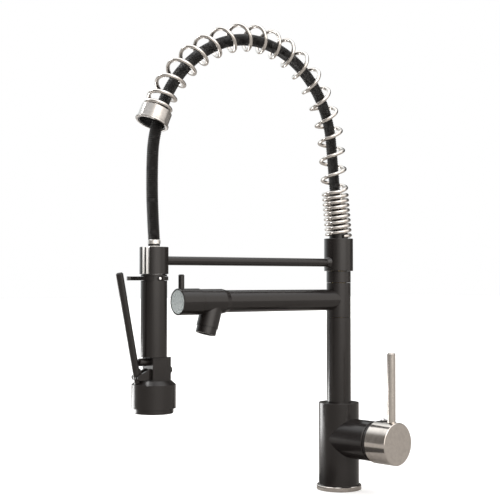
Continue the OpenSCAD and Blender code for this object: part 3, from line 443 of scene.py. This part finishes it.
def moulded(name, low, high, rough, pebbles=1500.0, relief=0.15):
    made, tree, shader = start_finish(name, high, rough[1])
    grain = place_group(tree, coat_grain, Pebbles_per_metre=pebbles)
    tree.links.new(position(tree), grain.inputs["Position"])
    vary_color(tree, shader, grain.outputs["Drift"], low, high)
    vary_roughness(tree, shader, grain.outputs["Drift"], *rough)
    bump(tree, shader, grain.outputs["Height"], relief, MOULD_DEPTH)
    return made


white_bush = moulded("white_bush", (0.70, 0.69, 0.66), (0.78, 0.77, 0.74), (0.40, 0.50))
dark_plastic = moulded("dark_plastic", (0.022, 0.022, 0.023), (0.032, 0.032, 0.033), (0.42, 0.52))
black_rubber = moulded("black_rubber", (0.016, 0.016, 0.016), (0.026, 0.026, 0.026), (0.62, 0.75),
                       1100.0, 0.3)
# Near-white for the strips along the clip's slit: a painted highlight that stands for their bright
# edges.
slit_highlight_white = moulded("slit_highlight_white", (0.90, 0.90, 0.88), (0.94, 0.94, 0.92), (0.30, 0.40))
index_white = moulded("index_white", (0.76, 0.76, 0.74), (0.84, 0.84, 0.82), (0.22, 0.30),
                      800.0, 0.05)
print("finishes so far:", len(bpy.data.materials))

# %% [markdown]
# ## Braided sleeve
# The sleeve is black nylon: dull between the yarns and glossy on top of them. The braid group
# reads the hose's own map, so the yarns follow every bend and stretch with the drop, and its
# height drives the tone, the gloss and the relief together. The tone is darker where the yarns
# are low: that is painted shade in the hollows between them.

# %% Braided sleeve
SLEEVE_RELIEF, SLEEVE_DEPTH = 0.9, 0.0008
hose_braid, tree, shader = start_finish(
    "hose_braid", (0.02, 0.02, 0.022), 0.4, Specular_IOR_Level=0.8)
hose_map = tree.nodes.new("ShaderNodeTexCoord").outputs["UV"]
weave = place_group(tree, braid)
tree.links.new(hose_map, weave.inputs["Round and along"])
yarn = weave.outputs["Height"]
# Painted shade: the colour is darker where the yarns are low, in the hollows between them.
vary_color(tree, shader, yarn, (0.003, 0.003, 0.003), (0.016, 0.015, 0.015))
vary_roughness(tree, shader, yarn, 0.55, 0.22)
bump(tree, shader, yarn, SLEEVE_RELIEF, SLEEVE_DEPTH)
print("finishes:", len(bpy.data.materials))

# %% [markdown]
# ## Finishes on the solids
# The record says which finish family each solid belongs to. Some brushed parts need their own
# copy, because the brush lines follow each part's own axis, and the ferrule is lighter than the
# other steel parts.

# %% Put the finishes on the solids
finish_of_slot = {
    "matt_black": matt_black, "brushed_nickel": nickel_base, "spring_nickel": spring_nickel,
    "disc_silver": silver_disc, "polished_chrome": chrome, "brass_core": brass, "zinc_steel": zinc,
    "white_bush": white_bush, "dark_plastic": dark_plastic, "black_rubber": black_rubber,
    "index_white": index_white, "hose_braid": hose_braid}
own_finish = {"handle_cap": nickel_cap, "handle_pin": nickel_pin, "end_collar": nickel_collar,
              "hose_ferrule": ferrule_silver}
for name, solid in nodes.items():
    finish = own_finish.get(name, finish_of_slot[slot_of[name]])
    for material_slot in solid.material_slots:
        material_slot.material = finish
    if not solid.material_slots:
        solid.data.materials.append(finish)
print("solids with a finish:", sum(1 for o in nodes.values() if o.material_slots))

# %% [markdown]
# ## The line of the arch
# The spring and the hose both climb from the dock collar, bend over in three arcs and come down
# on the spray side, but the hose hangs inside the coil and isn't centred in it. Both lines are
# walked in the same way, in the upright plane of the arm. A step is a pair: a bend's radius and
# its turn in degrees, or 0 and the length of a straight run. The radius of the last bend is
# worked out, so that the line ends at the wanted distance from the riser.

# %% Steps along a bent line
def walk(state, radius, amount):
    out, up, lean = state
    if radius == 0:
        return (out + amount * math.sin(lean), up + amount * math.cos(lean), lean)
    new = lean + math.radians(amount)
    return (out + radius * (math.cos(lean) - math.cos(new)),
            up + radius * (math.sin(new) - math.sin(lean)), new)


def route_of(start, steps, final_turn, final_out):
    state = start
    for radius, amount in steps:
        state = walk(state, radius, amount)
    end = state[2] + math.radians(final_turn)
    radius = (final_out - state[0]) / (math.cos(state[2]) - math.cos(end))
    return [*steps, (radius, final_turn)]


def length_of(step):
    return step[1] if step[0] == 0 else step[0] * math.radians(step[1])


def at_length(start, steps, length):
    state = start
    for index, (radius, amount) in enumerate(steps):
        whole = length_of((radius, amount))
        if length <= whole or index == len(steps) - 1:
            part = length if radius == 0 else math.degrees(length / radius)
            return walk(state, radius, part)
        state = walk(state, radius, amount)
        length -= whole


print("a quarter bend of 100 mm ends at:", [round(v, 3) for v in walk((0, 0, 0), 0.1, 90)[:2]])

# %% Lines of the spring and the hose
COLLAR_TOP = 0.2968
FOOT = (0.060, 6.0)
SPRING_STEPS = [FOOT, (0, 0.104), (0.136, 41.5), (0.109, 63.0)]
SPRING_LAST_TURN, SPRING_SHORT_OF_REACH = 46.3, 0.00304
HOSE_STEPS = [(0, 0.012), FOOT, (0, 0.108), (0.122, 41.0), (0.116, 64.0)]
HOSE_LAST_TURN, HOSE_BELOW_COLLAR = 69.0, 0.0118

spring_start = (0.0, COLLAR_TOP, 0.0)
spring_route = route_of(spring_start, SPRING_STEPS, SPRING_LAST_TURN,
                        REACH - SPRING_SHORT_OF_REACH)
hose_start = (0.0, COLLAR_TOP - HOSE_BELOW_COLLAR, 0.0)
hose_route = route_of(hose_start, HOSE_STEPS, HOSE_LAST_TURN, REACH)
spring_length = sum(length_of(s) for s in spring_route)
hose_length = sum(length_of(s) for s in hose_route)
hose_end = at_length(hose_start, hose_route, hose_length)
print("spring line:", round(spring_length, 4), "m")
print("hose line to the drop:", round(hose_length, 4), "m")

# %% [markdown]
# ## The spring
# The spring is one wound wire: nine turns lie close together at the foot and carry the weight,
# and the open turns above let the hose be seen. A curve is the right tool for a wire, because
# its bevel gives a true round section everywhere. The points go round the arch line, and the
# rise of each turn sets how close the next one lies. At the crown the turns slip a little
# towards the head, the last ones before the end collar stand wider apart, and the very last
# half turn lies flat in the collar.

# %% Tube along a line
def tube_piece(name, points, radius, sides, finish, swell=None):
    line = bpy.data.curves.new(name + "_line", "CURVE")
    line.dimensions = "3D"
    line.bevel_depth = radius
    line.bevel_resolution = (sides - 4) // 2
    line.use_fill_caps = True
    spline = line.splines.new("POLY")
    spline.points.add(len(points) - 1)
    for index, (point, where) in enumerate(zip(spline.points, points)):
        point.co = (*where, 1.0)
        if swell:
            point.radius = swell[index % len(swell)]
    drawn = put_in_scene(name + "_line", line)
    bpy.context.view_layer.update()
    graph = bpy.context.evaluated_depsgraph_get()
    mesh = bpy.data.meshes.new_from_object(drawn.evaluated_get(graph))
    bpy.data.objects.remove(drawn)
    mesh.name = name
    mesh.shade_smooth()
    mesh.materials.clear()
    mesh.materials.append(finish)
    return put_in_scene(name, mesh)


print("helper: tube_piece")

# %% Turns of the spring
WIRE_R, COIL_R, WIRE_SIDES = 0.0022, 0.0139, 12
CLOSE_TURNS, CLOSE_RISE, OPEN_TURNS, END_TURNS = 9, 0.00595, 17.9, 0.55
CROWN_TURN, CROWN_SLIP, CROWN_SPAN = CLOSE_TURNS + 0.445 * OPEN_TURNS, 0.0055, 2.6
END_RISE = ((-8.0, 0.0), (-6.4, 0.18), (-5.2, 0.29), (-1.55, 0.26), (-0.55, -0.1),
            (0.0, -END_TURNS))
LIFT = WIRE_R + 0.0001
OPEN_RISE = (spring_length - 2 * LIFT - CLOSE_TURNS * CLOSE_RISE) / OPEN_TURNS
COIL_PHASE = 344.0
POINTS_PER_TURN = 32
all_turns = CLOSE_TURNS + OPEN_TURNS + END_TURNS


def end_rise(left):
    for (start, before), (stop, after) in zip(END_RISE, END_RISE[1:]):
        if start <= left <= stop:
            return before + (after - before) * (left - start) / (stop - start)
    return 0.0


def coil_point(turns):
    close = min(turns, CLOSE_TURNS) * CLOSE_RISE
    opened = max(turns - CLOSE_TURNS, 0) * OPEN_RISE
    slip = CROWN_SLIP * math.exp(-((turns - CROWN_TURN) / CROWN_SPAN) ** 2) if opened else 0.0
    drawn_in = OPEN_RISE * end_rise(turns - all_turns)
    out, up, lean = at_length(spring_start, spring_route, LIFT + close + opened + slip + drawn_in)
    angle = math.radians(COIL_PHASE + 360.0 * turns)
    round_it = Vector((math.cos(angle), math.sin(angle) * math.cos(lean),
                       math.sin(angle) * math.sin(lean)))
    return Vector((0, -out, up)) + COIL_R * round_it


print("spring turns:", all_turns, "open rise", round(OPEN_RISE * 1000, 2), "mm")

# %% Wind the spring
coil_count = round(all_turns * POINTS_PER_TURN)
coil_points = [coil_point(i / POINTS_PER_TURN) for i in range(coil_count + 1)]
spring = tube_piece("arch_spring", coil_points, WIRE_R, WIRE_SIDES, spring_nickel)
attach(spring, "arm")
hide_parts("arm_spring")
print("points along the wire:", len(coil_points))

# %% [markdown]
# ## The hose
# The braided hose is drawn as one line from the collar to the ferrule of the spray head, with
# fine ribs along its sleeve, and its upright stretch hangs in a slight bow. When the head is
# pulled down out of its clip, that stretch lengthens while the arch stays still. So the tube is
# cut at the start of the drop: the arch part follows the arm, and the drop is left in its drawn
# place.

# %% Lay the hose
HOSE_R, HOSE_SIDES = 0.0064, 24
HOSE_BOW, BOW_TOP = 0.0026, 0.415
RIB, RIB_SWELL = 0.0022, (1.03, 0.97, 0.90, 0.97)
ferrule_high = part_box("hose_ferrule")[1]
arch_steps = round(hose_length / RIB * len(RIB_SWELL))
hose_points = []
for i in range(arch_steps + 1):
    out, up, lean = at_length(hose_start, hose_route, hose_length * i / arch_steps)
    hose_points.append(Vector((0, -out, up)))
drop_top = hose_points[-1].z
drop = drop_top - ferrule_high.z
drop_steps = round(drop / RIB * len(RIB_SWELL))
for i in range(1, drop_steps + 1):
    hose_points.append(Vector((0, -REACH, drop_top - drop * (i / drop_steps))))
for point in hose_points[arch_steps // 2:]:
    if point.z < BOW_TOP:
        angle = math.pi * (BOW_TOP - point.z) / (BOW_TOP - ferrule_high.z)
        point.y -= HOSE_BOW * math.sin(angle)
whole_hose = tube_piece("whole_hose", hose_points, HOSE_R, HOSE_SIDES, hose_braid, RIB_SWELL)
print("hose:", round(hose_length + drop, 3), "m")


# %% Cut the hose at the start of the drop
def hose_part(name, drop_wanted):
    mesh = whole_hose.data.copy()
    mesh.name = name
    form = bmesh.new()
    form.from_mesh(mesh)
    others = []
    for face in form.faces:
        middle = face.calc_center_median()
        in_drop = middle.y < -REACH / 2 and middle.z < hose_end[1]
        if in_drop != drop_wanted:
            others.append(face)
    bmesh.ops.delete(form, geom=others, context="FACES")
    bmesh.ops.holes_fill(form, edges=[e for e in form.edges if e.is_boundary], sides=0)
    form.to_mesh(mesh)
    form.free()
    part = put_in_scene(name, mesh)
    return part


arch_hose = hose_part("arch_hose", False)
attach(arch_hose, "arm")
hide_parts("hose_arch")
drop_hose = hose_part("drop_hose", True)
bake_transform(drop_hose)
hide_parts("hose_drop")
bpy.data.objects.remove(whole_hose)
print("hose faces:", len(arch_hose.data.polygons), "and", len(drop_hose.data.polygons))

# %% [markdown]
# ## Swept sections
# Two kinds of small piece follow, and both are a plain section that is swept or turned round an
# upright axis. One helper makes them: it draws the section, spins it, joins the seam of a full
# turn, softens the sharp edges and sets the piece in its place.

# %% Turned section
SHARP = math.radians(50)
SAME_PLACE = 1e-7


def turned_section(name, section, axis_at, start, sweep, steps, soften, finish):
    mesh = bpy.data.meshes.new(name)
    form = bmesh.new()
    turn = Matrix.Rotation(math.radians(start), 4, "Z")
    corners = [form.verts.new(turn @ Vector((radius, 0, height))) for radius, height in section]
    face = form.faces.new(corners)
    full = abs(sweep) >= 360
    bmesh.ops.spin(form, geom=[face, *face.edges, *face.verts], cent=(0, 0, 0), axis=(0, 0, 1),
                   angle=math.radians(sweep), steps=steps, use_merge=full, use_duplicate=False)
    if full:
        bmesh.ops.remove_doubles(form, verts=form.verts, dist=SAME_PLACE)
        seam = [f for f in form.faces if all(abs(v.co.y) < SAME_PLACE for v in f.verts)]
        bmesh.ops.delete(form, geom=seam, context="FACES_ONLY")
    bmesh.ops.recalc_face_normals(form, faces=form.faces)
    if soften:
        edges = [e for e in form.edges if len(e.link_faces) == 2 and e.calc_face_angle() > SHARP]
        bmesh.ops.bevel(form, geom=edges, offset=soften, offset_type="OFFSET", affect="EDGES",
                        segments=2, profile=0.5, material=-1)
    bmesh.ops.translate(form, verts=form.verts, vec=axis_at)
    form.to_mesh(mesh)
    form.free()
    mesh.shade_smooth()
    mesh.materials.append(finish)
    return put_in_scene(name, mesh)


print("an edge is sharp above", round(math.degrees(SHARP)), "degrees")

# %% [markdown]
# ## White strips on the clip's slit
# Two slim white strips line the slit of the clip. Their white is a painted highlight: it stands
# for the bright light that the edges of the slit reflect. Each one is a small rectangle that is
# swept a few degrees round the clip's own axis, so it follows the clip's round wall, and a fine
# bevel takes its edges off.

# %% Painted highlight strips
LIP_IN, LIP_OUT, LIP_LOW, LIP_HIGH = 0.0135, 0.01535, 0.2540, 0.2823
LIP_STEPS, LIP_SOFTEN = 4, 0.0002
lip_section = ((LIP_IN, LIP_LOW), (LIP_OUT, LIP_LOW), (LIP_OUT, LIP_HIGH), (LIP_IN, LIP_HIGH))
# The strips' white is a painted highlight along the edges of the slit.
for name, start, sweep in (("slit_lip_left", -84.6, 6.2), ("slit_lip_right", -65.2, 8.4)):
    lip = turned_section(name, lip_section, (0, -REACH, 0), start, sweep, LIP_STEPS, LIP_SOFTEN,
                         slit_highlight_white)
    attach(lip, "arm")
    print(name, "faces:", len(lip.data.polygons))

# %% [markdown]
# ## Domed plug
# A small chromed plug closes the hole of the handle's set screw. The solid has a flat disc
# there. A half arc that is turned a full round gives the dome, and it seats on the same spot.

# %% Domed plug
plug_low, plug_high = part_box("index_disc")
plug_at = (plug_low + plug_high) / 2
DOME_R, DOME_RISE, DOME_ARCS, DOME_STEPS = 0.0039, 0.0021, 8, 32
DOME_SEAT, DOME_RIM = 0.0006, 0.0001
dome_low = plug_low.z + DOME_SEAT
dome_section = [(0.0, dome_low), (DOME_R, dome_low)]
for i in range(1, DOME_ARCS):
    angle = math.pi / 2 * i / DOME_ARCS
    height = dome_low + DOME_RIM + DOME_RISE * math.sin(angle)
    dome_section.append((DOME_R * math.cos(angle), height))
dome_section.append((0.0, dome_low + DOME_RIM + DOME_RISE))
dome = turned_section("index_dome", dome_section, (plug_at.x, plug_at.y, 0), 0, 360, DOME_STEPS,
                      0, chrome)
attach(dome, "handle")
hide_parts("index_disc")
print("plug top:", round(dome_low + DOME_RIM + DOME_RISE, 4), "m")

# %% [markdown]
# ## Studio floor
# The floor is a wide pale sheet that runs into a white backdrop. Reflections see it darker than
# the camera does, because a white floor would fill every dark cylinder with light from below,
# and a little glow keeps it near white where the camera sees it.

# %% Floor
FLOOR_SIZE, FLOOR_DROP = 12.0, 0.0002
FLOOR_IN_REFLECTIONS, FLOOR_GLOW = (0.36, 0.34, 0.32), 0.30
floor_mesh = bpy.data.meshes.new("floor")
sheet = bmesh.new()
bmesh.ops.create_grid(sheet, x_segments=1, y_segments=1, size=FLOOR_SIZE)
sheet.to_mesh(floor_mesh)
sheet.free()
floor = put_in_scene("floor", floor_mesh)
floor.location.z = -FLOOR_DROP
floor_finish, tree, shader = start_finish("studio_floor", (0.86, 0.86, 0.86), 0.8)
dust = add(tree, "ShaderNodeTexNoise", Scale=6.0, Detail=3.0)
tree.links.new(position(tree), dust.inputs["Vector"])
paper = color_mix(tree, dust.outputs["Fac"], (0.855, 0.855, 0.855), (0.87, 0.87, 0.87))
seen = tree.nodes.new("ShaderNodeLightPath").outputs["Is Camera Ray"]
vary_color(tree, shader, seen, FLOOR_IN_REFLECTIONS, paper)
shader.inputs["Emission Color"].default_value = (1.0, 1.0, 1.0, 1.0)
glow = math_node(tree, "MULTIPLY", seen, FLOOR_GLOW)
tree.links.new(glow, shader.inputs["Emission Strength"])
floor_mesh.materials.append(floor_finish)
print("floor:", 2 * FLOOR_SIZE, "m wide")

# %% [markdown]
# ## Room
# Metal and coated parts show what stands round them, so the room matters as much as the lamps.
# It is painted on the sky by heading, where 0 is the camera's side and +90 is the right. A tall
# screen behind on the left draws a thin light line down the left edge of every dark cylinder, a
# larger and brighter one stands in front on the right and fades round to the side, and black
# curtains close the left side and the back on the right. A soft box hangs overhead. The camera
# itself sees plain white.

# %% Headings
FRONT = Vector((0.7986, -0.6018, 0.0))
RIGHT = Vector((0.6018, 0.7986, 0.0))
world = bpy.data.worlds.new("studio")
bpy.context.scene.world = world
world.use_nodes = True
room = world.node_tree
heading_of = room.nodes.new("ShaderNodeTexCoord").outputs["Generated"]
sides = []
for axis in (RIGHT, FRONT):
    dot = add(room, "ShaderNodeVectorMath", operation="DOT_PRODUCT")
    room.links.new(heading_of, dot.inputs[0])
    dot.inputs[1].default_value = axis
    sides.append(dot.outputs["Value"])
turned_by = math_node(room, "DIVIDE", math_node(room, "ARCTAN2", *sides), 2 * math.pi)
print("camera's side:", tuple(round(v, 2) for v in FRONT))

# %% Walls by heading
ROOM_PEAK = 3.0
ROOM = ((-180, 0.5), (-162, 1.2), (-124, 1.3), (-112, 0.8), (-106, 0.5), (-96, 0.30),
        (-82, 0.14), (-44, 0.12), (-20, 0.50), (0, 1.5), (18, 2.7), (48, 2.6), (62, 1.5),
        (92, 1.35), (108, 0.12), (178, 0.10))
SCREEN_TINT, FRONT_TINT, SCREEN_ENDS = (0.95, 0.99, 1.0), (1.0, 0.95, 0.90), -100
walls = room.nodes.new("ShaderNodeValToRGB")
room.links.new(math_node(room, "ADD", turned_by, 0.5), walls.inputs["Fac"])
stops = walls.color_ramp.elements
while len(stops) < len(ROOM):
    stops.new(1.0)
for stop, (degrees, level) in zip(stops, ROOM):
    stop.position = degrees / 360 + 0.5
    tint = SCREEN_TINT if degrees < SCREEN_ENDS else FRONT_TINT
    stop.color = (*(level / ROOM_PEAK * part for part in tint), 1.0)
print("room stops:", len(stops))

# %% Soft box overhead and white backdrop
LID_STARTS, LID_FULL, LID_LEVEL = 0.55, 0.85, 2.0
BACKDROP_LEVEL = 1.0
split = add(room, "ShaderNodeSeparateXYZ")
room.links.new(heading_of, split.inputs[0])
overhead = stretch(room, split.outputs["Z"], LID_STARTS, LID_FULL)
lid = color_mix(room, overhead, walls.outputs["Color"], (LID_LEVEL / ROOM_PEAK,) * 3)
seen = room.nodes.new("ShaderNodeLightPath").outputs["Is Camera Ray"]
backdrop = color_mix(room, seen, lid, (BACKDROP_LEVEL / ROOM_PEAK,) * 3)
sky = room.nodes["Background"]
room.links.new(backdrop, sky.inputs["Color"])
sky.inputs["Strength"].default_value = ROOM_PEAK
print("lid level:", LID_LEVEL, "backdrop level:", BACKDROP_LEVEL)

# %% [markdown]
# ## Lamps
# One soft lamp from the front gives the faces their tone and draws a faint shadow at the foot.
# Two low screens on the left draw a light strip down the left side of the mixer body and of the
# spray head. They stand lower than what they light, because the camera looks slightly down on
# it. A small lamp high on the left puts a highlight on the head's shoulder. Area lamps suit all
# four, because their size sets how soft the light is.

# %% Lamps
LAMPS = (
    # name, place, aim, width, height, watts
    ("front_lamp", (1.6, -0.6, 1.9), (0, -0.12, 0.25), 1.2, 1.2, 6.0),
    ("body_screen", (-0.45, -0.24, 0.042), (0, -0.24, 0.042), 0.36, 0.084, 0.80),
    ("head_screen", (-0.45, -0.425, 0.075), (0, -0.425, 0.075), 0.21, 0.150, 0.69),
    ("shoulder_lamp", (-0.155, -0.358, 0.603), (0.013, -0.276, 0.139), 0.10, 0.10, 0.31))
for name, place, aim, width, height, watts in LAMPS:
    lamp_data = bpy.data.lights.new(name, "AREA")
    lamp_data.shape = "RECTANGLE"
    lamp_data.size = width
    lamp_data.size_y = height
    lamp_data.energy = watts
    lamp = put_in_scene(name, lamp_data)
    lamp.location = place
    lamp.rotation_euler = (Vector(aim) - Vector(place)).to_track_quat("-Z", "Y").to_euler()
    lamp.visible_camera = False

# %% [markdown]
# ## Black flags
# In a studio, black cards stand where a reflection is unwanted. One lies on the floor to the
# left of the handle's cap, whose underside would otherwise mirror the pale floor, and one stands
# between the head screen and the handle's pin, so that the pin's left edge stays dark. Only
# reflections see them: they give no shadow and the camera looks through them.

# %% Black flags
flag_finish, tree, shader = start_finish("flag_cloth", (0.03, 0.027, 0.025), 0.9)
CARD_CORNERS = ((-0.5, -0.5), (0.5, -0.5), (0.5, 0.5), (-0.5, 0.5))


def flag(name, middle, along, across):
    mesh = bpy.data.meshes.new(name)
    sheet = bmesh.new()
    corners = [sheet.verts.new(middle + along * a + across * b) for a, b in CARD_CORNERS]
    bmesh.ops.contextual_create(sheet, geom=corners)
    sheet.to_mesh(mesh)
    sheet.free()
    card = put_in_scene(name, mesh)
    card.visible_camera = card.visible_diffuse = card.visible_shadow = False
    mesh.materials.append(flag_finish)


UNDER_CAP = Vector((0.0766, 0.0086, 0.0012))
TO_THE_LEFT, TO_THE_BACK = 0.145, 0.03
FLOOR_CARD = (0.115, 0.22)
BESIDE_PIN = Vector((-0.185, -0.21, 0.1225))
SIDE_CARD = (0.12, 0.135)
flag("floor_flag", UNDER_CAP - TO_THE_LEFT * RIGHT - TO_THE_BACK * FRONT,
     FLOOR_CARD[0] * RIGHT, FLOOR_CARD[1] * FRONT)
flag("side_flag", BESIDE_PIN, Vector((0, SIDE_CARD[0], 0)), Vector((0, 0, SIDE_CARD[1])))
print("flags: 2")

# %% [markdown]
# ## Plain colours
# The standard view shows colours as they are mixed, without the film curve that Blender starts
# with, so that white stays white.

# %% Plain colours
bpy.context.scene.view_settings.view_transform = "Standard"
bpy.context.scene.view_settings.look = "None"
